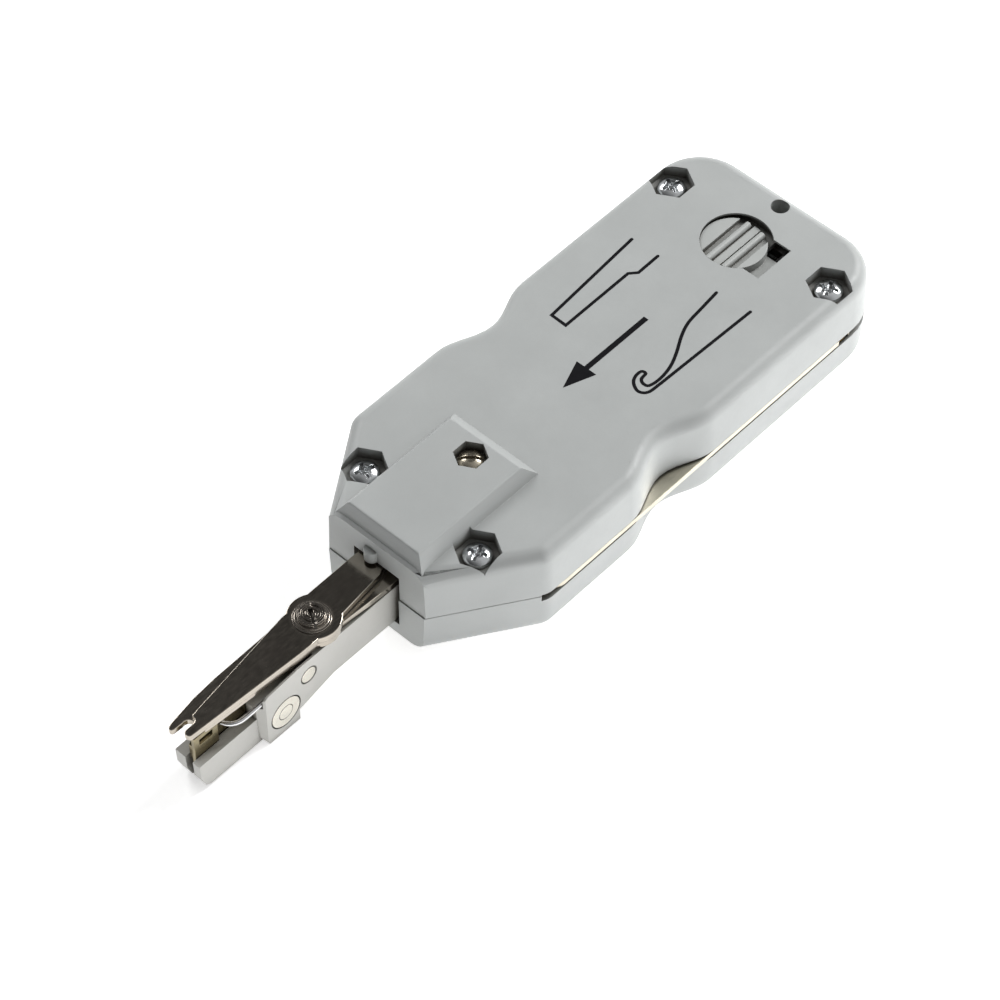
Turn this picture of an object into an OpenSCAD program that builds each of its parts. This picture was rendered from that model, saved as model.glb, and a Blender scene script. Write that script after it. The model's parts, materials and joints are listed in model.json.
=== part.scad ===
// Punch down tool with a spring-loaded insertion head, wire scissors on top of it,
// and a folding hook and release blade in the sides of a two-shell plastic casing.
// +X points to the working tip, +Y to the hook side and +Z to the face with the slider.

/* [Casing] */
// Length over everything, tail to blade tips
overall_l = 178; // [177.5:0.5:180]
// Length of the casing
casing_l = 124.5; // [122:0.5:126]
// Width of the casing at the parting line
casing_w = 53; // [52:0.5:56]
// Height of the casing's back above the lowest point of the head
back_z = 2; // [1:0.5:3]
// Height of the parting line
part_z = 13; // [13:0.1:13.2]
// Height of the casing's top face
top_z = 25.2; // [25:0.1:26]
// Height of the raised block over the head channel
block_z = 28.2; // [27.5:0.1:29]
// Thickness of the casing's walls
wall = 2.2; // [1.8:0.1:2.4]
// Radius of the top and bottom edges
edge_r = 3; // [2:0.5:3.5]
// Taper of each side wall from the parting line
draft = 0.3; // [0:0.1:0.5]

/* [Outline] */
// Radius of the tail corners
tail_r = 11.5; // [10:0.5:13]
// Where the side walls turn into the slanted shoulders
shoulder_x = 104.2; // [102:0.2:106]
// Half width of the flat front face
front_hw = 13; // [12:0.5:14]
// Middle of the thumb notches
notch_x = 67.5; // [64:0.5:70]
// Half length of the thumb notches
notch_half = 12.5; // [10:0.5:14]
// Depth of the thumb notches
notch_depth = 3.5; // [2.5:0.1:4]

/* [Screws] */
// Distance of the tail screws from the tail
tail_screw_x = 13.9; // [13.5:0.1:14.5]
// Distance of the tail screws from the middle line
tail_screw_y = 21.15; // [21:0.05:21.3]
// Distance of the front screws from the tail
front_screw_x = 112; // [111:0.5:113]
// Distance of the front screws from the middle line
front_screw_y = 15; // [14.5:0.1:15.2]
// Distance of the block's screw from the tail
block_screw_x = 97.7; // [97:0.1:99]
// Corner radius of the case screws' hexagonal recesses
recess_r = 4.9; // [4.5:0.1:5]
// Depth of the recesses
recess_depth = 3; // [2.5:0.1:3.5]

/* [Head] */
// Half width of the sliding head
head_hw = 4.8; // [4.6:0.1:4.8]
// Underside of the head's shaft
head_low_z = 5.4; // [5.4:0.1:6]
// Upper face of the head's shaft
head_top_z = 15.7; // [15.5:0.1:15.7]
// Distance of the scissor pivot from the tail
pivot_x = 142.2; // [141:0.2:143]
// Thickness of each scissor blade
blade_t = 1.55; // [1.2:0.05:1.55]
// Stroke of the head into the casing
stroke = 8; // [6:0.5:8]
// Closing angle of each scissor blade over the whole stroke
close_deg = 3; // [2:0.1:3]

/* [Folding tools] */
// Thickness of the hook and the release blade
tool_t = 1.4; // [1.2:0.1:1.4]
// Distance from the tail to the ends of the folded tools
tool_end = 104; // [100:0.5:104.5]

/* [Slider and lanyard] */
// Travel of the lock slider
lock_travel = 4; // [3:0.5:4]
// Middle of the slider's window
window_x = 17.5; // [17:0.1:18]
// Radius of the slider's window
window_r = 7.65; // [7.4:0.05:7.8]
// Distance of the lanyard hole from the tail
lanyard_x = 4.1; // [4:0.1:4.3]
// Radius of the lanyard hole
lanyard_r = 2; // [1.5:0.1:2.1]

/* [Hidden] */
// How far inner features reach into the walls they grow from
weld = 0.5;
hw = casing_w / 2;
shoulder_a = atan2(hw - front_hw, casing_l - shoulder_x);
shoulder_r = 5;
seam = 0.14;
front_step = 0.3;
floor_z = back_z + wall;
ceiling_z = top_z - wall;
slot_low_z = 11.5;
slot_high_z = 13.45;
slot_in_y = 15.7;
slot_end_x = 105.3;
boss_r = 3.6;
tail_boss_r = 3.4;
cup_r = 6.1;
screw_r = 1.5;
screw_hole_r = 1.6;
nut_r = 3.1;
nut_pocket_r = 3.25;
nut_h = 2.4;
nut_z = back_z + 0.2;
bush_r = 2.5;
bush_low_z = 11.25;
bush_high_z = 13.4;
tool_z = 11.65;
tool_out_y = hw - 0.2;
tang_r = 5.2;
washer_r = 4.6;
channel_hw = head_hw + 0.2;
channel_low_z = head_low_z - 0.2;
opening_hw = 6;
opening_top_z = 19.6;
lower_blade_z = head_top_z + 0.15;
upper_blade_z = lower_blade_z + blade_t + 0.1;
scissor_top_z = upper_blade_z + blade_t;
cam_z = 19.6;
cam_t = 1.5;
cam_hw = 8;
cam_x0 = 93.7;
cam_x1 = 118.3;
pin_r = 1.25;
leg_pin_x = 112;
leg_pin_y = 3.2;
rod_z = (head_low_z + head_top_z) / 2;
rod_r = 2;
head_rear_x = 94;
seat_x = 41;
seat_l = 5;
spring_r = 4.2;
spring_wire_r = 0.6;
spring_turns = 12;
boss_x = 151.2;
boss_front_x = 160.8;
fork_end_x = 176.3;
fork_hw = 3.3;
fork_top_z = 8.3;
fork_low_z = 0.6;
slit_hw = 0.55;
insert_hw = 0.45;
anvil_x = 169.2;
anvil_hw = 1.35;
anvil_low_z = 3;
clamp_pin = [148.3, 11.2];
foot_pin = [154.8, 5.7];
clamp_pin_r = 1.9;
foot_pin_r = 1.8;
foot_washer_r = 3.7;
foot_washer_t = 0.8;
bail_r = 0.5;
bail_y = 3.7;
bail_bend_x = 164.6;
bail_front_z = 12.6;
slider_z = 21.4;
slider_base_t = 1.2;
slider_low_x = 8.4;
slider_high_x = 26.6;
slider_back_y = -9.2;
slider_front_y = 9.9;
slider_top_z = 24.6;
rim_z = 24.65;
pad_x = 18;
pad_y = -0.75;
pad_r = 7.05;
window_y = -0.4;
flange_z = 20.2;
pawl_x = tail_screw_x;
pawl_hw = 1.5;
pawl_front_y = 13.5;

// ---------- placing ----------

// Everything is drawn from the tail and then centred on the origin
module placed() {
    translate([-overall_l / 2, 0, 0]) children();
}

// A cylinder along Z between two heights
module post(x, y, z0, z1, r) {
    translate([x, y, z0]) cylinder(h = z1 - z0, r = r, $fn = 48);
}

// A hexagonal prism along Z, with corners on the X axis
module hex_post(x, y, z0, z1, r) {
    translate([x, y, z0]) cylinder(h = z1 - z0, r = r, $fn = 6);
}

// A cylinder along Y between two places
module cross_post(x, z, y0, y1, r) {
    translate([x, y1, z]) rotate([90, 0, 0]) cylinder(h = y1 - y0, r = r, $fn = 48);
}

// A cylinder along X between two places
module long_post(y, z, x0, x1, r) {
    translate([x0, y, z]) rotate([0, 90, 0]) cylinder(h = x1 - x0, r = r, $fn = 48);
}

// A box between two corners
module block(a, b) {
    translate(a) cube(b - a);
}

// The same thing on the +Y and the -Y side
module both_sides() {
    children();
    mirror([0, 1, 0]) children();
}

// A slot with round ends between two points
module round_slot(a, b, r, z0, z1) {
    post(a[0], a[1], z0, z1, r);
    post(b[0], b[1], z0, z1, r);
    translate([a[0], a[1], z0]) rotate([0, 0, atan2(b[1] - a[1], b[0] - a[0])])
        translate([0, -r, 0]) cube([norm(b - a), 2 * r, z1 - z0]);
}

// ---------- casing outline ----------

function notch_phase(x) = 180 * (x - notch_x) / notch_half;
function notch_y(x) = hw - notch_depth * (1 + cos(notch_phase(x))) / 2;
function notch_slope(x) = notch_depth * PI / (2 * notch_half) * sin(notch_phase(x));
function notch_point(x, inset) =
    let (s = notch_slope(x), n = sqrt(1 + s * s))
    [x + inset * s / n, notch_y(x) - inset / n];
function arc(cx, cy, r, a0, a1, n) =
    [for (i = [0:n]) [cx + r * cos(a0 + (a1 - a0) * i / n), cy + r * sin(a0 + (a1 - a0) * i / n)]];

// The +Y half of the outline from tail to front, moved inward by inset
function half_outline(inset, front_x) = concat(
    arc(tail_r, hw - tail_r, tail_r - inset, 180, 90, 8),
    [for (i = [0:14]) notch_point(notch_x + notch_half * (i / 7 - 1), inset)],
    arc(shoulder_x - shoulder_r * tan(shoulder_a / 2), hw - shoulder_r,
        shoulder_r - inset, 90, 90 - shoulder_a, 4),
    [[front_x, front_hw - (front_x - casing_l) * tan(shoulder_a) - inset / cos(shoulder_a)]]);
function mirrored(points) = [for (i = [len(points) - 1:-1:0]) [points[i][0], -points[i][1]]];
function outline(inset, front_x = casing_l) =
    concat(half_outline(inset, front_x), mirrored(half_outline(inset, front_x)));

// A solid through rings of the outline, given as [height, inset] from low to high
module outline_loft(levels, front_x = casing_l) {
    n = len(outline(0));
    m = len(levels);
    points = [for (l = levels) for (p = outline(l[1], front_x)) [p[0], p[1], l[0]]];
    walls = [for (i = [0:m - 2]) for (j = [0:n - 1])
        [i * n + j, i * n + (j + 1) % n, (i + 1) * n + (j + 1) % n, (i + 1) * n + j]];
    low_cap = [for (j = [n - 1:-1:0]) j];
    high_cap = [for (j = [0:n - 1]) (m - 1) * n + j];
    polyhedron(points = points, faces = concat(walls, [low_cap], [high_cap]));
}

function reversed(v) = [for (i = [len(v) - 1:-1:0]) v[i]];

// Heights below the face and insets along a rounded edge, whose last facet runs on past the
// face, where the loft is cut flat
last_step = 72;
over_face = 0.1;
function edge_levels() = concat(
    [for (a = [0:18:last_step]) [edge_r * (1 - sin(a)), draft + edge_r * (1 - cos(a))]],
    [[-over_face, draft + edge_r + over_face * cos(last_step) / (1 - sin(last_step))]]);

// Small chamfers on both shells leave a fine V along the parting line. Each loft runs
// past that line too.
module upper_form() {
    levels = concat([[part_z - 1, 1 + seam], [part_z + seam, 0]],
        [for (l = edge_levels()) [top_z - l[0], l[1]]]);
    intersection() {
        outline_loft(levels);
        block([-5, -casing_w, part_z], [casing_l + 5, casing_w, top_z]);
    }
}

module lower_form() {
    levels = concat([for (l = reversed(edge_levels())) [back_z + l[0], l[1]]],
        [[part_z - seam, 0], [part_z + 1, 1 + seam]]);
    intersection() {
        outline_loft(levels, casing_l + front_step);
        block([-5, -casing_w, back_z], [casing_l + 5, casing_w, part_z]);
    }
}

// The space inside the walls, or a slightly larger one when depth is above 0
module cavity(z0, z1, depth = 0) {
    intersection() {
        translate([0, 0, z0]) linear_extrude(z1 - z0) polygon(outline(wall + draft - depth));
        block([-1, -casing_w, z0 - 1], [casing_l - wall + depth, casing_w, z1 + 1]);
    }
}

// Opening along the sides and round the tail corners, where the tools swing out
module tool_slots(z0, z1) {
    both_sides() block([-1, slot_in_y, z0], [slot_end_x, hw + 1, z1]);
}

// The raised block has a steep front and sloping sides, which run down to the shoulders' walls.
// Its upper edges have small chamfers.
module raised_block() {
    low_z = 20.6;
    rise = block_z - low_z;
    top_hw = 9.3;
    side_slope = 0.635;
    front_run = 2.3;
    front_top_x = casing_l - front_run;
    front_foot_z = top_z - 2.2;
    front_slope = front_run / (block_z - front_foot_z);
    rear_top_x = 93.5;
    edge = 0.3;
    module side_view() {
        polygon([[rear_top_x - rise, low_z], [casing_l, low_z], [casing_l, front_foot_z],
            [front_top_x + front_slope * edge, block_z - edge], [front_top_x - edge, block_z],
            [rear_top_x + edge, block_z], [rear_top_x - edge, block_z - edge]]);
    }
    module front_view() {
        half = [[top_hw + side_slope * rise, low_z], [top_hw + side_slope * edge, block_z - edge],
            [top_hw - edge, block_z]];
        polygon(concat(half, [for (p = reversed(half)) [-p[0], p[1]]]));
    }
    intersection() {
        translate([0, casing_w / 2, 0]) rotate([90, 0, 0]) linear_extrude(casing_w) side_view();
        translate([70, 0, 0]) rotate([90, 0, 90]) linear_extrude(60) front_view();
        translate([0, 0, low_z - 1]) linear_extrude(rise + 2) polygon(outline(draft));
    }
}

module lanyard_post(z0, z1) {
    post(lanyard_x, 0, z0, z1, lanyard_r + 1.4);
}

// Walls on both sides of the head's channel and of the spring's chamber
module channel_walls(z0, z1, inner_y) {
    both_sides() {
        block([86, inner_y, z0], [casing_l - wall + weld, inner_y + 1.6, z1]);
        block([seat_x - 2, 5.4, z0], [86 + weld, 7, z1]);
        // Stop for the spring seat, open in the middle for the rod and its clip
        block([seat_x - 2, 4.2, z0], [seat_x - 0.2, 7, z1]);
    }
}

module cross_ribs(z0, z1) {
    for (x = [34, 52, 84]) block([x, 8.6, z0], [x + 1.4, hw, z1]);
}

module case_screw_posts(z0, z1, r) {
    both_sides() {
        post(tail_screw_x, tail_screw_y, z0, z1, r);
        post(front_screw_x, front_screw_y, z0, z1, r);
    }
}

module lower_inside() {
    low_z = floor_z - weld;
    lanyard_post(low_z, part_z);
    both_sides() {
        post(tail_screw_x, tail_screw_y, low_z, bush_low_z, tail_boss_r);
        post(front_screw_x, front_screw_y, low_z, part_z, boss_r);
        cross_ribs(low_z, slot_low_z);
    }
    channel_walls(low_z, 11, channel_hw);
}

module lower_shell() {
    color("lightgray") placed() difference() {
        union() {
            difference() {
                lower_form();
                cavity(floor_z, part_z + 1);
            }
            intersection() {
                cavity(floor_z - weld, part_z, weld);
                lower_inside();
            }
        }
        tool_slots(slot_low_z, part_z + 1);
        // Opening for the head, and the channel behind it
        block([casing_l - wall - 0.3, -opening_hw, channel_low_z], [casing_l + 1, opening_hw, part_z + 1]);
        post(lanyard_x, 0, back_z - 1, part_z + 1, lanyard_r);
        case_screw_posts(back_z - 1, part_z + 1, screw_hole_r);
        both_sides() {
            post(tail_screw_x, tail_screw_y, bush_low_z, part_z + 1, washer_r + 0.2);
            hex_post(tail_screw_x, tail_screw_y, back_z - 1, nut_z + nut_h, nut_pocket_r);
            hex_post(front_screw_x, front_screw_y, back_z - 1, nut_z + nut_h, nut_pocket_r);
        }
    }
}

module upper_inside() {
    high_z = ceiling_z + weld;
    lanyard_post(part_z, high_z);
    both_sides() {
        post(tail_screw_x, tail_screw_y, bush_high_z, high_z, tail_boss_r);
        post(front_screw_x, front_screw_y, part_z, high_z, boss_r);
        cross_ribs(slot_high_z + 1, high_z);
    }
    // Cups under the recesses
    case_screw_posts(20.4, high_z, cup_r);
    channel_walls(17.2, high_z, opening_hw - 0.3);
    block([cam_x0 - 1.5, -cam_hw - 1.5, 19], [casing_l - wall + weld, cam_hw + 1.5, high_z]);
    block([slider_low_x - 1.3, slider_back_y - 1.3, flange_z],
        [slider_high_x + 1.3, slider_front_y + lock_travel + 1.4, high_z]);
}

module upper_shell() {
    color("silver") placed() difference() {
        union() {
            difference() {
                upper_form();
                cavity(part_z - 1, ceiling_z);
            }
            intersection() {
                cavity(part_z, ceiling_z + weld, weld);
                upper_inside();
            }
            raised_block();
            // Small peg over the head opening
            post(casing_l - 0.2, -1.3, opening_top_z + 0.2, 22.6, 1.6);
        }
        tool_slots(part_z - 1, slot_high_z);
        both_sides() {
            hex_post(tail_screw_x, tail_screw_y, top_z - recess_depth, block_z + 1, recess_r);
            hex_post(front_screw_x, front_screw_y, top_z - recess_depth, block_z + 1, recess_r);
        }
        case_screw_posts(part_z - 1, top_z + 1, screw_hole_r);
        // Scissor opening and the pocket of the cam plate
        block([cam_x0 - 10, -opening_hw, part_z - 1], [casing_l + 3, opening_hw, opening_top_z]);
        block([cam_x0 - 0.1, -cam_hw - 0.1, part_z], [cam_x1 + 0.1, cam_hw + 0.1, cam_z + cam_t]);
        hex_post(block_screw_x, 0, block_z - 2.7, block_z + 1, 3.6);
        post(block_screw_x, 0, part_z, block_z, screw_hole_r);
        // Slider window and the pocket that guides the slider
        post(window_x, window_y, flange_z - 1, top_z + 1, window_r);
        block([window_x - 5.3, window_y, flange_z - 1], [window_x + 5.0, window_y + 10, top_z + 1]);
        block([slider_low_x - 0.1, slider_back_y - 0.1, flange_z - 1],
            [slider_high_x + 0.1, slider_front_y + lock_travel + 0.1, rim_z]);
        post(lanyard_x, 0, part_z - 1, top_z + 1, lanyard_r);
    }
}

// ---------- fasteners of the casing ----------

cross_hw = 2.1;
cross_arm_hw = 0.45;

// A pan head screw with a cross recess, its head resting at height z
module pan_screw(x, y, z, low_z) {
    difference() {
        union() {
            post(x, y, low_z, z, screw_r);
            intersection() {
                post(x, y, z, z + 2.2, 2.95);
                translate([x, y, z - 2.6]) sphere(r = 4.75, $fn = 64);
            }
        }
        for (a = [20, 110])
            translate([x, y, z + 1]) rotate([0, 0, a])
                translate([-cross_hw, -cross_arm_hw, 0]) cube([2 * cross_hw, 2 * cross_arm_hw, 3]);
        translate([x, y, z + 0.6]) cylinder(h = 1.7, r1 = 0.4, r2 = 1.5, $fn = 32);
    }
}

module case_screws() {
    color("gainsboro") placed() both_sides() {
        pan_screw(tail_screw_x, tail_screw_y, top_z - recess_depth, 2.6);
        pan_screw(front_screw_x, front_screw_y, top_z - recess_depth, 2.6);
    }
}

module hex_nut(x, y, z, h) {
    difference() {
        hex_post(x, y, z, z + h, nut_r);
        post(x, y, z - 1, z + h + 1, screw_r + 0.02);
    }
}

module case_nuts() {
    color("gainsboro") placed() both_sides() {
        hex_nut(tail_screw_x, tail_screw_y, nut_z, nut_h);
        hex_nut(front_screw_x, front_screw_y, nut_z, nut_h);
    }
}

module block_screw() {
    seat_z = block_z - 2.7;
    color("darkkhaki") placed() difference() {
        union() {
            post(block_screw_x, 0, 17.3, seat_z, screw_r);
            intersection() {
                post(block_screw_x, 0, seat_z, seat_z + 1.9, 2.7);
                translate([block_screw_x, 0, seat_z - 2.1]) sphere(r = 4.1, $fn = 64);
            }
        }
        translate([block_screw_x, 0, seat_z + 0.9]) rotate([0, 0, -49])
            translate([-4, -0.35, 0]) cube([8, 0.7, 3]);
    }
}

module block_nut() {
    color("gainsboro") placed() hex_nut(block_screw_x, 0, cam_z - 2.2, 2.2);
}

// ---------- inside the casing ----------

// Where a scissor leg's pin is, for a stroke of s from rest
function leg_pin(s) =
    let (a = close_deg * s / stroke, dx = leg_pin_x - pivot_x)
    [pivot_x - s + dx * cos(a) - leg_pin_y * sin(a), -dx * sin(a) - leg_pin_y * cos(a)];

module cam_plate() {
    color("slategray") placed() difference() {
        block([cam_x0, -cam_hw, cam_z], [cam_x1, cam_hw, cam_z + cam_t]);
        both_sides() round_slot(leg_pin(-0.3), leg_pin(stroke + 0.3), pin_r + 0.15, cam_z - 1, cam_z + 3);
        post(block_screw_x, 0, cam_z - 1, cam_z + 3, screw_hole_r);
    }
}

module spring_seat() {
    color("dimgray") placed() difference() {
        block([seat_x, -5.3, channel_low_z - 1], [seat_x + seat_l, 5.3, 16.4]);
        long_post(0, rod_z, seat_x - 1, seat_x + seat_l + 1, rod_r + 0.05);
    }
}

module bush(y) {
    difference() {
        post(tail_screw_x, y, bush_low_z, bush_high_z, bush_r);
        post(tail_screw_x, y, bush_low_z - 1, bush_high_z + 1, screw_hole_r);
    }
}

module hook_bush() {
    color("silver") placed() bush(tail_screw_y);
}

module blade_bush() {
    color("silver") placed() bush(-tail_screw_y);
}

module friction_washer(y) {
    difference() {
        post(tail_screw_x, y, bush_low_z, tool_z - 0.02, washer_r);
        post(tail_screw_x, y, bush_low_z - 1, tool_z + 1, bush_r + 0.1);
    }
}

module hook_washer() {
    color("goldenrod") placed() friction_washer(tail_screw_y);
}

module blade_washer() {
    color("goldenrod") placed() friction_washer(-tail_screw_y);
}

// Flanged plate under the slider, with a slot for the slider's stem
module slider_retainer() {
    flange_t = 1;
    color("dimgray") placed() difference() {
        union() {
            block([slider_low_x - 0.8, slider_back_y - 1, flange_z - flange_t],
                [slider_high_x + 1, slider_front_y + lock_travel + 1, flange_z - 0.02]);
            block([slider_low_x, slider_back_y, flange_z - flange_t],
                [slider_high_x, slider_front_y + lock_travel, slider_z - 0.05]);
        }
        block([window_x - 6.4, -3.3, flange_z - 2], [window_x - 1, 2.7 + lock_travel + 0.3, slider_z + 1]);
    }
}

// A bowed leaf that rubs on the side of the slider's stem
module slider_leaf_spring() {
    stem_side = window_x - 1.4;
    color("silver") placed() translate([0, 0, 17.7]) linear_extrude(1.48)
        polygon([[stem_side + 0.6, -5], [stem_side + 0.05, 1.2], [stem_side + 0.05, 2.3],
            [stem_side + 0.6, 8.5], [stem_side + 0.9, 8.5], [stem_side + 0.35, 2.3],
            [stem_side + 0.35, 1.2], [stem_side + 0.9, -5]]);
}

// ---------- springs and wires ----------

function coil_point(t) =
    let (x0 = seat_x + seat_l + spring_wire_r + 0.05, x1 = head_rear_x - spring_wire_r - 0.05,
        a = 360 * spring_turns * t)
    [x0 + (x1 - x0) * t, spring_r * cos(a), rod_z + spring_r * sin(a)];

function unit(v) = v / norm(v);

// A wire of round section through a list of points
module wire(path, r, sides) {
    n = len(path);
    tangents = [for (i = [0:n - 1]) unit(path[min(i + 1, n - 1)] - path[max(i - 1, 0)])];
    // The section's first axis is kept as level as the tangent allows
    across = [for (t = tangents) abs(t[2]) < 0.9 ? unit(cross([0, 0, 1], t)) : unit(cross([1, 0, 0], t))];
    points = [for (i = [0:n - 1]) for (k = [0:sides - 1])
        let (a = 360 * k / sides, v = cross(tangents[i], across[i]))
        path[i] + r * (cos(a) * across[i] + sin(a) * v)];
    skin = [for (i = [0:n - 2]) for (k = [0:sides - 1])
        [i * sides + k, (i + 1) * sides + k, (i + 1) * sides + (k + 1) % sides, i * sides + (k + 1) % sides]];
    first_cap = [for (k = [0:sides - 1]) k];
    last_cap = [for (k = [sides - 1:-1:0]) (n - 1) * sides + k];
    polyhedron(points = points, faces = concat(skin, [first_cap], [last_cap]));
}

// The coil's section stays in the plane of the spring's axis
module coil() {
    per_turn = 16;
    sides = 6;
    n = per_turn * spring_turns;
    points = [for (i = [0:n]) let (p = coil_point(i / n), a = 360 * i / per_turn)
        for (k = [0:sides - 1]) let (b = 360 * k / sides, out = spring_wire_r * cos(b))
        [p[0] + spring_wire_r * sin(b), p[1] + out * cos(a), p[2] + out * sin(a)]];
    skin = [for (i = [0:n - 1]) for (k = [0:sides - 1])
        [i * sides + (k + 1) % sides, (i + 1) * sides + (k + 1) % sides, (i + 1) * sides + k, i * sides + k]];
    first_cap = [for (k = [sides - 1:-1:0]) k];
    last_cap = [for (k = [0:sides - 1]) n * sides + k];
    polyhedron(points = points, faces = concat(skin, [last_cap], [first_cap]));
}

module main_spring() {
    color("darkgray") placed() coil();
}

// ---------- sliding head ----------

module head_profile() {
    polygon([[head_rear_x, head_low_z], [141.7, head_low_z], [boss_x, 2.9], [boss_x, 0],
        [boss_front_x - 1.4, 0], [boss_front_x, 2.4], [boss_front_x + 0.5, 13.2],
        [boss_front_x, 13.7], [boss_front_x - 1.6, 14.9], [boss_x + 0.4, head_top_z - 0.1],
        [boss_x + 0.4, head_top_z], [head_rear_x, head_top_z]]);
}

// The foot narrows to the width of the fork at its front
module head_plan() {
    side_y = head_hw + 1;
    polygon([[head_rear_x - 1, -side_y], [boss_front_x - 1.8, -side_y], [boss_front_x + 0.9, -side_y + 3.2],
        [boss_front_x + 0.9, side_y - 3.2], [boss_front_x - 1.8, side_y], [head_rear_x - 1, side_y]]);
}

// One prong of the fork, with a raked and rounded end
module prong() {
    translate([0, fork_hw, 0]) rotate([90, 0, 0]) linear_extrude(fork_hw - slit_hw) {
        polygon([[boss_front_x - 2, fork_low_z], [fork_end_x - 2.4, fork_low_z],
            [fork_end_x - 1.3, fork_low_z + 0.8], [fork_end_x - 0.2, 4.4], [fork_end_x, fork_top_z],
            [boss_front_x - 2, fork_top_z]]);
    }
}

module head_bar() {
    color("gainsboro") placed() difference() {
        union() {
            intersection() {
                translate([0, head_hw, 0]) rotate([90, 0, 0]) linear_extrude(2 * head_hw) head_profile();
                translate([0, 0, -1]) linear_extrude(head_top_z + 2) head_plan();
            }
            both_sides() prong();
        }
        // Slit for the insertion blade and channel for the bail
        block([145.8, -slit_hw, 2.4], [boss_front_x + 2, slit_hw, head_top_z + 1]);
        block([anvil_x - 0.02, 0, anvil_low_z - 0.02], [fork_end_x + 1, anvil_hw + 0.05, fork_top_z + 1]);
        block([150.6, -bail_y - 0.6, 11.8], [boss_front_x + 2, bail_y + 0.6, head_top_z + 1]);
        both_sides() block([146.6, bail_y - 0.6, 13.4], [151, bail_y + 0.6, head_top_z + 1]);
        cross_post(clamp_pin[0], clamp_pin[1], -head_hw - 1, head_hw + 1, clamp_pin_r + 0.02);
        cross_post(foot_pin[0], foot_pin[1], -head_hw - 1, head_hw + 1, foot_pin_r + 0.02);
        cross_post(foot_pin[0], foot_pin[1], head_hw - foot_washer_t - 0.1, head_hw + 1,
            foot_washer_r + 0.25);
        both_sides() cross_post(clamp_pin[0], clamp_pin[1], head_hw - 0.4, head_hw + 1, clamp_pin_r + 0.25);
        long_post(0, rod_z, head_rear_x - 1, head_rear_x + 8, rod_r + 0.02);
        post(pivot_x, 0, 7, head_top_z + 1, 2.05);
        post(pivot_x, 0, 10.6, head_top_z + 1, 3.02);
    }
}

module guide_rod() {
    color("silver") placed() long_post(0, rod_z, 37.5, head_rear_x + 8, rod_r);
}

module rod_clip() {
    color("darkgray") placed() difference() {
        long_post(0, rod_z, seat_x - 1.1, seat_x - 0.1, 3.8);
        long_post(0, rod_z, seat_x - 2, seat_x + 1, rod_r + 0.02);
        block([seat_x - 2, -0.9, rod_z], [seat_x + 1, 0.9, rod_z + 5]);
    }
}

module pivot_screw() {
    head_z = scissor_top_z + 0.62;
    top = head_z + 0.8;
    color("gray") placed() difference() {
        union() {
            post(pivot_x, 0, 8, head_z, 2);
            post(pivot_x, 0, head_z, top - 0.2, 2.9);
            post(pivot_x, 0, head_z, top, 2.6);
        }
        // Rings turned into the head
        for (r = [2.15, 1.25]) difference() {
            post(pivot_x, 0, top - 0.35, top + 1, r);
            post(pivot_x, 0, top - 1, top + 2, r - 0.42);
        }
        // Slot across the head, deeper over the shank
        translate([pivot_x, 0, head_z]) rotate([0, 0, 60]) {
            block([-4, -0.45, 0.1], [4, 0.45, 2]);
            block([-1.7, -0.45, -0.6], [1.7, 0.45, 2]);
        }
    }
}

module pivot_washer() {
    washer_z = scissor_top_z + 0.02;
    color("silver") placed() difference() {
        union() {
            post(pivot_x, 0, washer_z, washer_z + 0.3, 3.85);
            post(pivot_x, 0, washer_z, washer_z + 0.6, 3.4);
        }
        post(pivot_x, 0, washer_z - 1, washer_z + 2, 2.02);
    }
}

module pivot_insert() {
    color("goldenrod") placed() difference() {
        post(pivot_x, 0, 10.65, head_top_z, 3);
        post(pivot_x, 0, 10, head_top_z + 1, 2.02);
    }
}

module insertion_blade() {
    color("tan") placed() translate([0, insert_hw, 0]) rotate([90, 0, 0]) linear_extrude(2 * insert_hw)
        difference() {
            polygon([[146, 8], [151, 3.4], [172.6, 3.4], [174.4, 6.6], [175.2, 7.6], [175.2, 11.4],
                [174.2, 12.5], [170.4, 12.5], [169.6, 11.7], [166.9, 11.7], [166.1, 12.5], [158, 12.5],
                [153.4, 14.2], [146, 14.2]]);
            translate(clamp_pin) circle(r = clamp_pin_r + 0.02, $fn = 48);
            translate(foot_pin) circle(r = foot_pin_r + 0.02, $fn = 48);
        }
}

// Small hardened plate in a step of the slit, beside the blade's tip, with a window for the wire
module wire_anvil() {
    color("khaki") placed() difference() {
        block([anvil_x, insert_hw + 0.02, anvil_low_z], [175.3, anvil_hw, 14.5]);
        block([170.6, 0, 11.6], [174, 2, 13.2]);
    }
}

function bail_side(s) = [[147.1, s * bail_y, 14.05], [150.4, s * bail_y, 14], [154, s * bail_y, 13.4],
    [158, s * bail_y, 12.8], [161.5, s * bail_y, bail_front_z]];
module bail_wire() {
    bend = [for (a = [-90:15:90]) [bail_bend_x + bail_y * cos(a), bail_y * sin(a), bail_front_z]];
    color("silver") placed() wire(concat(bail_side(-1), bend, reversed(bail_side(1))), bail_r, 14);
}

module clamp_pin() {
    color("lightgray") placed()
        cross_post(clamp_pin[0], clamp_pin[1], -head_hw, head_hw, clamp_pin_r);
}

module foot_pin() {
    color("lightgray") placed()
        cross_post(foot_pin[0], foot_pin[1], -head_hw, head_hw + 0.05, foot_pin_r);
}

module foot_washer() {
    color("whitesmoke") placed() difference() {
        cross_post(foot_pin[0], foot_pin[1], head_hw - foot_washer_t, head_hw, foot_washer_r);
        cross_post(foot_pin[0], foot_pin[1], 0, head_hw + 1, foot_pin_r + 0.02);
    }
}

// ---------- scissors ----------

// The round notch between the two tips
function tip_notch(a) = [174.9 + 1.3 * cos(a), -0.3 + 1.25 * sin(a)];

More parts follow.
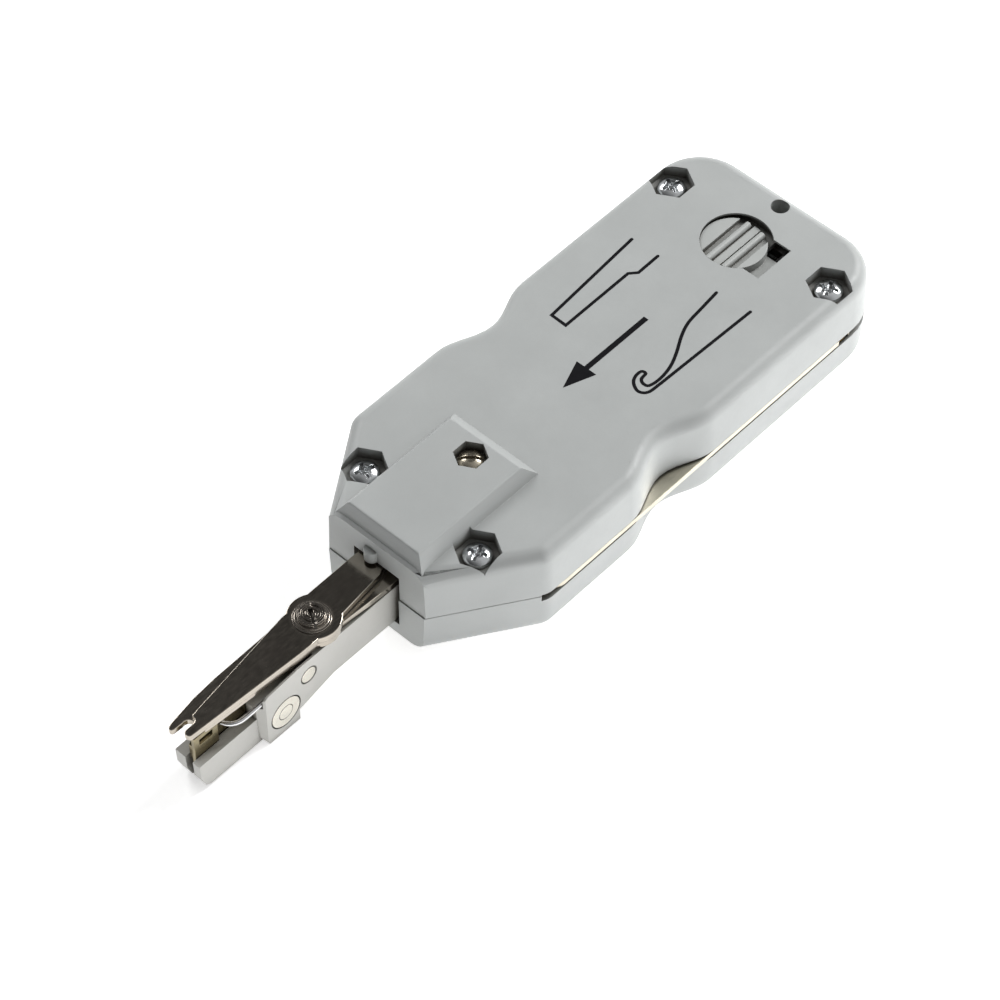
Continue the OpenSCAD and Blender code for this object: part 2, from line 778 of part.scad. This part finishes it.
// Outline of the upper blade: leg on the -Y side, cutting part towards +Y
module upper_blade_outline() {
    difference() {
        union() {
            polygon([[110.2, -4.6], [124, -4.8], [138, -4.7], [146, -4.4], [172.2, -0.8],
                for (a = [190:-20:90]) tip_notch(a), [176.9, 0.95], [177.3, 1.2], [177.5, 1.7],
                [177.4, 2.4], [177, 2.8],
                [150, 4.3], [145, 4.4], [138, 3.6], [126, 2.3], [117, -1.8], [110.2, -1.8]]);
            translate([pivot_x - 0.6, 0]) circle(r = 5.5, $fn = 64);
        }
        translate([pivot_x, 0]) circle(r = 2.05, $fn = 48);
    }
}

// Outline of the lower blade: leg on the +Y side, its horn on the -Y side
module lower_blade_outline() {
    difference() {
        union() {
            polygon([[110.2, 1.8], [117, 1.8], [126, -2.3], [138, -3.6], [145, -4.8], [164, -4.5],
                [170, -4.1], [176.6, -3.1], [overall_l - 0.3, -2.8], [overall_l, -2.3],
                [overall_l - 0.1, -1.8], [overall_l - 0.5, -1.55], for (a = [-70:-20:-190]) tip_notch(a),
                [173.2, 2.5], [150, 4.0],
                [145, 4.1], [138, 4.2], [124, 4.9], [110.2, 4.6]]);
            translate([pivot_x - 0.6, 0]) circle(r = 5.3, $fn = 64);
        }
        translate([pivot_x, 0]) circle(r = 2.05, $fn = 48);
        translate([leg_pin_x, leg_pin_y]) circle(r = pin_r + 0.01, $fn = 48);
    }
}

module upper_scissor_blade() {
    color("dimgray") placed() translate([0, 0, upper_blade_z]) linear_extrude(blade_t)
        difference() {
            upper_blade_outline();
            translate([leg_pin_x, -leg_pin_y]) circle(r = pin_r + 0.01, $fn = 48);
        }
}

module lower_scissor_blade() {
    color("dimgray") placed() translate([0, 0, lower_blade_z]) linear_extrude(blade_t)
        lower_blade_outline();
}

module upper_cam_pin() {
    color("silver") placed() post(leg_pin_x, -leg_pin_y, upper_blade_z, cam_z + cam_t - 0.1, pin_r);
}

module lower_cam_pin() {
    color("silver") placed() post(leg_pin_x, leg_pin_y, lower_blade_z, cam_z + cam_t - 0.1, pin_r);
}

// ---------- folding tools ----------

// Two notches in a tang, which the lock bar drops into with the tool in or out
module tang_notches() {
    for (a = [-90, 90]) translate([tail_screw_x, tail_screw_y]) rotate([0, 0, a])
        translate([3.3, -pawl_hw - 0.15]) square([4, 2 * pawl_hw + 0.3]);
}

module hook_outline() {
    neck_y = tool_out_y - 3;
    eye = [tool_end - 5, tool_out_y - 5];
    difference() {
        union() {
            translate([tail_screw_x, tail_screw_y]) circle(r = tang_r, $fn = 64);
            polygon([[tail_screw_x, tail_screw_y - 4.8], [58, tool_out_y - 10], [70, tool_out_y - 8.6],
                [80, tool_out_y - 4.6], [88, neck_y], [eye[0], neck_y], [eye[0], tool_out_y],
                [tail_screw_x, tool_out_y]]);
            translate(eye) circle(r = 5, $fn = 64);
        }
        translate([tail_screw_x, tail_screw_y]) circle(r = bush_r + 0.05, $fn = 48);
        translate(eye) circle(r = 2.6, $fn = 48);
        translate([eye[0] - 6, eye[1] - 2.4]) square([6, 2 * 2.2]);
        tang_notches();
    }
}

module hook() {
    color("lightsteelblue") placed() translate([0, 0, tool_z]) linear_extrude(tool_t) hook_outline();
}

module release_blade_outline() {
    difference() {
        union() {
            translate([tail_screw_x, tail_screw_y]) circle(r = tang_r, $fn = 64);
            polygon([[tail_screw_x, tail_screw_y - 4.8], [52, tool_out_y - 10.2], [56, tool_out_y - 8],
                [tool_end - 3, tool_out_y - 6.4], [tool_end, tool_out_y], [tail_screw_x, tool_out_y]]);
        }
        translate([tail_screw_x, tail_screw_y]) circle(r = bush_r + 0.05, $fn = 48);
    }
}

module release_blade() {
    color("lightsteelblue") placed() mirror([0, 1, 0])
        translate([0, 0, tool_z]) linear_extrude(tool_t) release_blade_outline();
}

// ---------- lock ----------

// The part of the round pad between two places across it, up to height z
module pad_band(y0, y1, z) {
    intersection() {
        post(pad_x, pad_y, slider_z, z, pad_r);
        block([pad_x - 10, y0, slider_z - 1], [pad_x + 10, y1, z + 1]);
    }
}

// A ridge along X with a rounded top
module ridge(y) {
    r = 0.8;
    half = sqrt(pad_r * pad_r - (y - pad_y) * (y - pad_y)) - 0.3;
    long_post(y, slider_top_z - r, pad_x - half, pad_x + half, r);
    block([pad_x - half, y - r, slider_z], [pad_x + half, y + r, slider_top_z - r]);
}

module lock_slider() {
    base_top_z = slider_z + slider_base_t;
    groove_z = 23.4;
    color("silver") placed() {
        difference() {
            block([slider_low_x, slider_back_y, slider_z], [slider_high_x, slider_front_y, base_top_z]);
            // Open corner beside the pad
            block([slider_low_x - 1, 4.4, slider_z - 1], [14.7, slider_front_y + 1, base_top_z + 1]);
        }
        // Rails that stay under the window's rim
        block([slider_low_x, slider_back_y, slider_z], [slider_low_x + 1, 4.4, rim_z - 0.1]);
        block([slider_high_x - 1, slider_back_y, slider_z], [slider_high_x, slider_front_y, rim_z - 0.1]);
        post(pad_x, pad_y, slider_z, groove_z, pad_r);
        pad_band(pad_y - 10, -4.2, slider_top_z);
        pad_band(-1, 0.7, groove_z + 0.5);
        pad_band(4.2, pad_y + 10, slider_top_z);
        ridge(-2.2);
        ridge(1.8);
        // Stem that carries the lock bar
        block([window_x - 6, -3, 17.5], [window_x - 1.4, 2.5, slider_z + weld]);
    }
}

// Steel strip under the slider, with a turned-down pawl at the hook's tang
module lock_bar() {
    color("lightsteelblue") placed() {
        block([pawl_x - pawl_hw, -5, 16.5], [pawl_x + pawl_hw, pawl_front_y, 17.5]);
        block([pawl_x - pawl_hw, pawl_front_y - 1, 11.9], [pawl_x + pawl_hw, pawl_front_y, 16.5]);
    }
}

lower_shell();
upper_shell();
case_screws();
case_nuts();
block_screw();
block_nut();
cam_plate();
spring_seat();
hook_bush();
blade_bush();
hook_washer();
blade_washer();
slider_retainer();
slider_leaf_spring();
main_spring();
head_bar();
guide_rod();
rod_clip();
pivot_screw();
pivot_washer();
pivot_insert();
insertion_blade();
wire_anvil();
bail_wire();
clamp_pin();
foot_pin();
foot_washer();
upper_scissor_blade();
upper_cam_pin();
lower_scissor_blade();
lower_cam_pin();
hook();
release_blade();
lock_slider();
lock_bar();
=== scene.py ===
"""Looks for a punch down tool: moulded casing, plated steel scissors and a sliding head.

Everything is in metres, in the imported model's frame: +X to the working tip, +Z to the slider.
"""

import json
import math

import bmesh
import bpy
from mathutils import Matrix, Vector


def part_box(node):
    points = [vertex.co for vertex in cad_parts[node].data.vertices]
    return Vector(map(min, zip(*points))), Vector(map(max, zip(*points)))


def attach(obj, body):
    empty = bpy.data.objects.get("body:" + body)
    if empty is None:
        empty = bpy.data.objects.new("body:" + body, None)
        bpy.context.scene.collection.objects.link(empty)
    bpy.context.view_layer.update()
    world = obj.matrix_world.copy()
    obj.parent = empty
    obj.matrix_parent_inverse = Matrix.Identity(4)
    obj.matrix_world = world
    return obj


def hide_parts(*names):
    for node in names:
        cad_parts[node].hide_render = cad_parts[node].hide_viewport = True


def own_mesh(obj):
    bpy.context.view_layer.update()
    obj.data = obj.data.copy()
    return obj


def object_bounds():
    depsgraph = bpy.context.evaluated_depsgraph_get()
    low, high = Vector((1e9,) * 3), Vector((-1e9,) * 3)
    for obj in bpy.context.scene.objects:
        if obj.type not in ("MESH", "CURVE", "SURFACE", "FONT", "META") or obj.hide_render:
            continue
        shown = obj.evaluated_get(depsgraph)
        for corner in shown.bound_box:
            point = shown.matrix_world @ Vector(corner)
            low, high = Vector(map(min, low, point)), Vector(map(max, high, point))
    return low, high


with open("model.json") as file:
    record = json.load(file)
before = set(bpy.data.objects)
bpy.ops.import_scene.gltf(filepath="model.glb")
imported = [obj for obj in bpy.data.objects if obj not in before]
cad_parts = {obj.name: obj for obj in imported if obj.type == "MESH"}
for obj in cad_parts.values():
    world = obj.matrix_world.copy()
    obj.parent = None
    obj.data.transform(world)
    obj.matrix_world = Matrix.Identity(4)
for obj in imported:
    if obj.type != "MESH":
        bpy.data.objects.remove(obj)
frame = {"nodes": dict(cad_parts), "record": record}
cad_lo, cad_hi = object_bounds()
nodes = frame["nodes"]

MM = 0.001


# ---------- colours and node helpers ----------

def linear(red, green, blue):
    """A screen colour from 0 to 255 as the linear values that shaders use."""
    def one(v):
        v /= 255
        return v / 12.92 if v <= 0.04045 else ((v + 0.055) / 1.055) ** 2.4
    return one(red), one(green), one(blue), 1.0


def scaled(colour, factor):
    return colour[0] * factor, colour[1] * factor, colour[2] * factor, 1.0


# Rays per shading point that look for nearby walls when painting shade into recesses
CREVICE_RAYS = 4


class Shader:
    """A material's node tree with short calls for the nodes that every finish here uses."""

    def __init__(self, name):
        self.material = bpy.data.materials.new(name)
        self.material.use_nodes = True
        self.tree = self.material.node_tree
        self.bsdf = self.tree.nodes["Principled BSDF"]
        self.place = self.tree.nodes.new("ShaderNodeTexCoord").outputs["Object"]
        self.normal = None

    def link(self, a, b):
        self.tree.links.new(a, b)

    def mapped(self, scale):
        node = self.tree.nodes.new("ShaderNodeMapping")
        node.inputs["Scale"].default_value = scale
        self.link(self.place, node.inputs["Vector"])
        return node.outputs["Vector"]

    def noise(self, scale, detail=3.0, stretch=None, rough=0.5):
        node = self.tree.nodes.new("ShaderNodeTexNoise")
        node.inputs["Scale"].default_value = scale
        node.inputs["Detail"].default_value = detail
        node.inputs["Roughness"].default_value = rough
        self.link(self.mapped(stretch) if stretch else self.place, node.inputs["Vector"])
        return node.outputs["Fac"]

    def cells(self, scale):
        node = self.tree.nodes.new("ShaderNodeTexVoronoi")
        node.inputs["Scale"].default_value = scale
        self.link(self.place, node.inputs["Vector"])
        return node.outputs["Distance"]

    def ramp(self, value, low, high, out_low, out_high):
        node = self.tree.nodes.new("ShaderNodeMapRange")
        node.inputs["From Min"].default_value = low
        node.inputs["From Max"].default_value = high
        node.inputs["To Min"].default_value = out_low
        node.inputs["To Max"].default_value = out_high
        self.link(value, node.inputs["Value"])
        return node.outputs["Result"]

    def mix(self, factor, a, b):
        node = self.tree.nodes.new("ShaderNodeMix")
        node.data_type = "RGBA"
        for value, name in ((a, 6), (b, 7)):
            if isinstance(value, tuple):
                node.inputs[name].default_value = value
            else:
                self.link(value, node.inputs[name])
        self.link(factor, node.inputs[0])
        return node.outputs[2]

    def bump(self, height, strength, distance):
        node = self.tree.nodes.new("ShaderNodeBump")
        node.inputs["Strength"].default_value = strength
        node.inputs["Distance"].default_value = distance
        self.link(height, node.inputs["Height"])
        if self.normal:
            self.link(self.normal, node.inputs["Normal"])
        self.normal = node.outputs["Normal"]
        self.link(self.normal, self.bsdf.inputs["Normal"])

    def crevice_shade(self, reach, low, high):
        """Mask for painted shade: 1 where walls within reach leave less open sky than low, falling to 0 at
        high.
        """
        node = self.tree.nodes.new("ShaderNodeAmbientOcclusion")
        node.samples = CREVICE_RAYS
        node.inputs["Distance"].default_value = reach
        return self.ramp(node.outputs["AO"], low, high, 1, 0)

    def set(self, **inputs):
        for name, value in inputs.items():
            socket = self.bsdf.inputs[name.replace("_", " ")]
            if isinstance(value, bpy.types.NodeSocket):
                self.link(value, socket)
            else:
                socket.default_value = value


# ---------- materials ----------

# Colour of the shade painted into recesses, where nearby walls hide the open sky
SHADE_COLOUR = linear(120, 112, 96)
MOULDED_IOR = 1.49
MOULDED_REACH = 3.5 * MM


def moulded(name, colour, roughness, grain=0.16, tone=0.05, gloss=0.5):
    """Injection-moulded plastic: spark-eroded grain, faint flow clouds and painted shade in its recesses.
    """
    s = Shader(name)
    clouds = s.ramp(s.noise(60, 4), 0.3, 0.7, 0, 1)
    body = s.mix(clouds, scaled(colour, 1 - tone), scaled(colour, 1 + tone))
    specks = s.ramp(s.noise(2600, 2), 0.35, 0.65, 0, 1)
    body = s.mix(s.ramp(specks, 0, 1, 0, 0.10), body, scaled(colour, 0.86))
    # Painted shade: the body darkens where nearby walls hide the open sky
    body = s.mix(s.crevice_shade(MOULDED_REACH, 0.2, 0.8), body, scaled(SHADE_COLOUR, 0.35))
    s.set(Base_Color=body)
    s.set(Roughness=s.ramp(s.noise(900, 3), 0.3, 0.7, roughness - 0.05, roughness + 0.07))
    s.set(IOR=MOULDED_IOR, Specular_IOR_Level=gloss)
    s.bump(s.noise(2200, 4, rough=0.65), grain, 0.05 * MM)
    s.bump(s.cells(3800), grain * 0.5, 0.03 * MM)
    return s.material


def steel(name, colour, roughness, stretch, scratch=0.12, dirt=0.25, edge=1.15, reach=0.7):
    """Plated steel: faint drawn grain, uneven plating, and painted shade, darker and less metallic, in
    what lies within reach mm.
    """
    s = Shader(name)
    uneven = s.ramp(s.noise(220, 5), 0.3, 0.72, 0, 1)
    body = s.mix(uneven, scaled(colour, 1 - dirt), scaled(colour, 1.0))
    streaks = s.noise(1, 4, stretch=stretch)
    body = s.mix(s.ramp(streaks, 0.35, 0.65, 0, 0.25), body, scaled(colour, edge))
    # Painted shade: darker and less metallic where nearby walls hide the open sky
    painted_shade = s.crevice_shade(reach * MM, 0.35, 0.85)
    body = s.mix(painted_shade, body, scaled(SHADE_COLOUR, 0.05))
    s.set(Base_Color=body, Metallic=s.ramp(painted_shade, 0, 1, 1, 0.2))
    s.set(Roughness=s.ramp(streaks, 0.3, 0.7, roughness - 0.02, roughness + 0.05))
    s.bump(streaks, scratch, 0.02 * MM)
    s.bump(s.noise(1400, 3), scratch * 0.6, 0.01 * MM)
    return s.material


# Noise scales of the grain: drawn out along X, or even
ALONG_X = (500, 3000, 3000)
ALL_WAYS = (2500, 2500, 2500)

finishes = {
    "casing_plastic": moulded("casing_plastic", linear(180, 183, 182), 0.46),
    "head_plastic": moulded("head_plastic", linear(200, 199, 194), 0.42, grain=0.10),
    "slider_plastic": moulded("slider_plastic", linear(184, 187, 185), 0.42, grain=0.08),
    "inner_plastic": moulded("inner_plastic", linear(58, 58, 60), 0.5),
    "zinc_steel": steel("zinc_steel", linear(225, 228, 230), 0.16, ALL_WAYS, scratch=0.2),
    "aged_zinc": steel("aged_zinc", linear(190, 182, 165), 0.25, ALL_WAYS, scratch=0.2),
    "nickel_steel": steel("nickel_steel", linear(190, 182, 170), 0.15, ALONG_X, scratch=0.015, dirt=0.12,
                          edge=1.05),
    "pivot_steel": steel("pivot_steel", linear(190, 182, 172), 0.16, ALL_WAYS, scratch=0.02, dirt=0.1,
                         reach=1.2),
    "brass": steel("brass", linear(214, 178, 105), 0.28, ALL_WAYS),
    "tool_steel": steel("tool_steel", linear(214, 208, 190), 0.30, ALONG_X),
    "ground_steel": steel("ground_steel", linear(190, 190, 190), 0.2, ALONG_X),
    "spring_steel": steel("spring_steel", linear(225, 225, 225), 0.1, ALL_WAYS, scratch=0.03, dirt=0.1),
    "contact_steel": steel("contact_steel", linear(168, 156, 122), 0.22, ALL_WAYS, scratch=0.2, dirt=0.65),
    "pin_steel": steel("pin_steel", linear(220, 216, 205), 0.22, ALL_WAYS),
}


# ---------- rounded edges on the CAD nodes ----------

# Edge rounding in mm; nodes that aren't named here get the default
DEFAULT_ROUND = 0.08
ROUNDS = {
    "lower_shell": 0.06, "upper_shell": 0.06, "head_bar": 0.08, "lock_slider": 0.08,
    "upper_scissor_blade": 0.2, "lower_scissor_blade": 0.18, "hook": 0.12, "release_blade": 0.12,
    "pivot_screw": 0.04, "case_screws": 0.03, "block_screw": 0.05, "foot_washer": 0.15,
    "clamp_pin": 0.25, "foot_pin": 0.3,
}


# Nodes with curved skins, which only need a finer mesh and smooth shading
CURVED = {"bail_wire"}

# Points closer than this are one, faces within the flat angle are one, and edges past the sharp
# angle are rounded
WELD_WITHIN = 0.001 * MM
FLAT_ANGLE = math.radians(0.1)
SHARP_ANGLE = math.radians(35)


def soften(node, width):
    """Joins the node's split faces, rounds its sharp edges and evens its shading."""
    mesh = node.data
    for attribute in ("custom_normal", "sharp_edge", "sharp_face"):
        if attribute in mesh.attributes:
            mesh.attributes.remove(mesh.attributes[attribute])
    mesh.shade_smooth()
    weld = node.modifiers.new("weld", "WELD")
    weld.merge_threshold = WELD_WITHIN
    if node.name in CURVED:
        finer = node.modifiers.new("finer", "SUBSURF")
        finer.levels = finer.render_levels = 1
        return
    flat = node.modifiers.new("flat", "DECIMATE")
    flat.decimate_type = "DISSOLVE"
    flat.angle_limit = FLAT_ANGLE
    bevel = node.modifiers.new("round", "BEVEL")
    bevel.width = width * MM
    bevel.segments = 3
    bevel.limit_method = "ANGLE"
    bevel.angle_limit = SHARP_ANGLE
    bevel.use_clamp_overlap = False
    bevel.miter_outer = "MITER_SHARP"
    even = node.modifiers.new("even", "WEIGHTED_NORMAL")
    even.weight = 50


for part in frame["record"]["subparts"]:
    node = nodes[part["node"]]
    node.data.materials.clear()
    node.data.materials.append(finishes[part["material_slot"]])
    soften(node, ROUNDS.get(part["node"], DEFAULT_ROUND))


# ---------- new pieces ----------

def piece(name, mesh, body, slot, finish=None):
    """A finished bmesh as an object that rides on a body and takes its finish from a slot."""
    data = bpy.data.meshes.new(name)
    mesh.to_mesh(data)
    mesh.free()
    thing = bpy.data.objects.new(name, data)
    bpy.context.scene.collection.objects.link(thing)
    data.materials.append(finish or finishes[slot])
    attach(thing, body)
    return thing


# How far the end turns of the coil crowd together, as a part of its length
CROWDING = 0.045


def coil(start_x, end_x, centre_z, coil_r, wire_r, turns):
    """A compression spring along X whose end turns lie closer together."""
    mesh = bmesh.new()
    per_turn, sides = 40, 12
    steps = per_turn * turns
    rings = []
    for i in range(steps + 1):
        t = i / steps
        along = start_x + (end_x - start_x) * (t - CROWDING * math.sin(math.tau * t) / math.pi)
        angle = math.tau * turns * t
        ring = []
        for k in range(sides):
            b = math.tau * k / sides
            out = coil_r + wire_r * math.cos(b)
            ring.append(mesh.verts.new((along + wire_r * math.sin(b), out * math.cos(angle),
                                        centre_z + out * math.sin(angle))))
        rings.append(ring)
    for one, two in zip(rings, rings[1:]):
        for k in range(sides):
            mesh.faces.new((one[k], one[(k + 1) % sides], two[(k + 1) % sides], two[k]))
    mesh.faces.new(rings[0][::-1])
    mesh.faces.new(rings[-1])
    bmesh.ops.recalc_face_normals(mesh, faces=mesh.faces[:])
    for face in mesh.faces:
        face.smooth = len(face.verts) == 4
    return mesh


SPRING_WIRE_R = 0.6 * MM
SPRING_TURNS = 12


def main_spring():
    low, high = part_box("main_spring")
    coil_r = (high.z - low.z) / 2 - SPRING_WIRE_R
    start_x, end_x = low.x + SPRING_WIRE_R, high.x - SPRING_WIRE_R
    mesh = coil(start_x, end_x, (low.z + high.z) / 2, coil_r, SPRING_WIRE_R, SPRING_TURNS)
    spring = piece("main_spring_coil", mesh, "casing", "spring_steel")
    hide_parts("main_spring")
    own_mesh(spring)


main_spring()

# The casing's tail end and top face, from which the printed lines are placed
BLOCK_RISE = 3 * MM
TAIL_X = cad_lo.x
TOP_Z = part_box("upper_shell")[1].z - BLOCK_RISE


def smooth_path(points, steps):
    """A Catmull-Rom curve through the points."""
    ends = [2 * points[0] - points[1]] + points + [2 * points[-1] - points[-2]]
    path = []
    for a, b, c, d in zip(ends, ends[1:], ends[2:], ends[3:]):
        for i in range(steps):
            t = i / steps
            path.append(0.5 * (2 * b + (c - a) * t + (2 * a - 5 * b + 4 * c - d) * t * t
                               + (3 * b - a - 3 * c + d) * t ** 3))
    return path + [points[-1]]


# Least cosine at a mitre, and steps in the half circle at each end of an ink band
MITRE_LIMIT = 0.35
CAP_STEPS = 8


def ink_band(points, width, z):
    """One flat strip of ink along a line, mitred at its corners and rounded at both ends."""
    mesh = bmesh.new()
    sides = [(b - a).normalized() for a, b in zip(points, points[1:])]
    edges = []
    for i, point in enumerate(points):
        before, after = sides[max(i - 1, 0)], sides[min(i, len(sides) - 1)]
        along = (before + after).normalized()
        reach = width / 2 / max(along.dot(after), MITRE_LIMIT)
        across = Vector((-along.y, along.x)) * reach
        edges.append([mesh.verts.new((q.x, q.y, z)) for q in (point - across, point + across)])
    for one, two in zip(edges, edges[1:]):
        mesh.faces.new((one[0], two[0], two[1], one[1]))
    for end, corners, out in ((points[0], edges[0], -sides[0]), (points[-1], edges[-1][::-1], sides[-1])):
        across = Vector((-out.y, out.x))
        cap = []
        for i in range(1, CAP_STEPS):
            a = math.pi * (0.5 - i / CAP_STEPS)
            q = end + (out * math.cos(a) + across * math.sin(a)) * width / 2
            cap.append(mesh.verts.new((q.x, q.y, z)))
        mesh.faces.new([corners[0]] + cap + [corners[1]])
    mesh.normal_update()
    for face in mesh.faces:
        if face.normal.z < 0:
            face.normal_flip()
    return mesh


def top_points(pairs):
    """Places in mm from the tail and the middle line as points in the frame."""
    return [Vector((TAIL_X + x * MM, y * MM)) for x, y in pairs]


INK_WIDTH = 0.7 * MM
INK_RISE = 0.03 * MM


def printed_symbols():
    """Line drawings of the release blade and the hook, each on its own side."""
    blade = [(31.8, -16.4), (58.3, -14.5), (58.4, -10.6), (39.4, -10.7), (37.8, -9.3), (31.7, -9.4)]
    back = (30.5, 14.3)
    curl = [(57.1, 13.5), (60.4, 13.2), (61.6, 11.6), (60.7, 9.6), (59.1, 8.6), (57.3, 8.6), (57.1, 9.6),
            (58.7, 9.9), (59.4, 10.9), (59.0, 12.2), (56.1, 12.6), (52.4, 12.0), (48.8, 10.5), (44.7, 8.3),
            (41.1, 7.0), (36.9, 6.5), (31.2, 5.9)]
    z = TOP_Z + INK_RISE
    piece("print_blade_symbol", ink_band(top_points(blade), INK_WIDTH, z), "casing", "inner_plastic", ink)
    hook = top_points([back]) + smooth_path(top_points(curl), 4)
    piece("print_hook_symbol", ink_band(hook, INK_WIDTH, z), "casing", "inner_plastic", ink)


def printed_arrow():
    """A plain arrow to the working tip, where makers print their own marks."""
    mesh = bmesh.new()
    z = TOP_Z + INK_RISE
    bar = top_points([(46, -0.6), (64, -0.6), (64, 0.6), (46, 0.6)])
    point = top_points([(64, -2.6), (71, 0), (64, 2.6)])
    for outline in (bar, point):
        mesh.faces.new([mesh.verts.new((q.x, q.y, z)) for q in outline])
    piece("print_arrow", mesh, "casing", "inner_plastic", ink)


ink = moulded("print_ink", linear(14, 14, 18), 0.7, grain=0.12, tone=0.12, gloss=0.12)
printed_symbols()
printed_arrow()


# ---------- floor, light and camera ----------

FLOOR_HALF = 3
FLOOR_GAP = 0.05 * MM

# The floor's glow grows along this direction, between these two distances
GLOW_ALONG = (-0.35, 1, 0)
GLOW_FROM, GLOW_TO = -0.03, 0.10


def floor(glow_low, glow_high):
    """Pale paper on a light table that is brighter along the tool's +Y side."""
    mesh = bmesh.new()
    bmesh.ops.create_grid(mesh, x_segments=2, y_segments=2, size=FLOOR_HALF)
    data = bpy.data.meshes.new("floor")
    mesh.to_mesh(data)
    mesh.free()
    thing = bpy.data.objects.new("floor", data)
    bpy.context.scene.collection.objects.link(thing)
    thing.location.z = -FLOOR_GAP
    s = Shader("floor_paper")
    paper = s.mix(s.ramp(s.noise(900, 3), 0.3, 0.7, 0, 1), linear(252, 252, 252), linear(255, 255, 255))
    s.set(Base_Color=paper, Emission_Color=paper, Roughness=0.9)
    place = s.tree.nodes.new("ShaderNodeVectorMath")
    place.operation = "DOT_PRODUCT"
    place.inputs[1].default_value = GLOW_ALONG
    s.link(s.place, place.inputs[0])
    s.set(Emission_Strength=s.ramp(place.outputs["Value"], GLOW_FROM, GLOW_TO, glow_low, glow_high))
    data.materials.append(s.material)


def area_light(name, place, size, power):
    """A square soft light that faces the tool's middle."""
    data = bpy.data.lights.new(name, "AREA")
    data.shape = "SQUARE"
    data.size = size
    data.energy = power
    thing = bpy.data.objects.new(name, data)
    thing.location = place
    thing.rotation_mode = "QUATERNION"
    thing.rotation_quaternion = (-Vector(place)).to_track_quat("-Z", "Y")
    bpy.context.scene.collection.objects.link(thing)


# The middle of the studio's dark wall, seen from the tool
DARK_WALL_AT = (-0.46, -0.42, 0.78)


def sky(tail_side, tip_side, dark_wall):
    """A white studio, brighter behind the tail than in front of the tip, with one dark wall."""
    world = bpy.data.worlds.new("studio")
    world.use_nodes = True
    tree = world.node_tree
    back = tree.nodes["Background"]
    back.inputs["Color"].default_value = (1, 1, 1, 1)
    direction = tree.nodes.new("ShaderNodeTexCoord").outputs["Generated"]

    def fade(value, low, high, out_low, out_high):
        node = tree.nodes.new("ShaderNodeMapRange")
        node.interpolation_type = "SMOOTHSTEP"
        node.inputs["From Min"].default_value = low
        node.inputs["From Max"].default_value = high
        node.inputs["To Min"].default_value = out_low
        node.inputs["To Max"].default_value = out_high
        tree.links.new(value, node.inputs["Value"])
        return node.outputs["Result"]

    split = tree.nodes.new("ShaderNodeSeparateXYZ")
    tree.links.new(direction, split.inputs["Vector"])
    dot = tree.nodes.new("ShaderNodeVectorMath")
    dot.operation = "DOT_PRODUCT"
    dot.inputs[1].default_value = Vector(DARK_WALL_AT).normalized()
    tree.links.new(direction, dot.inputs[0])
    multiply = tree.nodes.new("ShaderNodeMath")
    multiply.operation = "MULTIPLY"
    tree.links.new(fade(split.outputs["X"], -0.3, 0.75, tail_side, tip_side), multiply.inputs[0])
    tree.links.new(fade(dot.outputs["Value"], 0.80, 0.93, 1, dark_wall), multiply.inputs[1])
    tree.links.new(multiply.outputs["Value"], back.inputs["Strength"])
    bpy.context.scene.world = world


SENSOR_MM = 36
LENS_MM = 133.3
CAMERA_AT = (0.3401, 0.3135, 0.5835)
AZIMUTH, ELEVATION = math.radians(132.70), math.radians(51.30)


def camera():
    """The fitted view of the tool from its tip's right, above."""
    data = bpy.data.cameras.new("camera")
    data.sensor_width = SENSOR_MM
    data.lens = LENS_MM
    thing = bpy.data.objects.new("camera", data)
    thing.location = CAMERA_AT
    level = math.cos(ELEVATION)
    back = Vector((math.sin(AZIMUTH) * level, -math.cos(AZIMUTH) * level, math.sin(ELEVATION)))
    thing.rotation_mode = "QUATERNION"
    thing.rotation_quaternion = (-back).to_track_quat("-Z", "Y")
    bpy.context.scene.collection.objects.link(thing)
    bpy.context.scene.camera = thing


floor(0.55, 1.4)
sky(0.5, 0.07, 0.08)
area_light("tail", (-0.90, 0.12, 0.78), 0.4, 10.5)
area_light("left", (-0.12, -0.90, 0.78), 0.4, 4.5)
camera()
bpy.context.scene.view_settings.view_transform = "Standard"
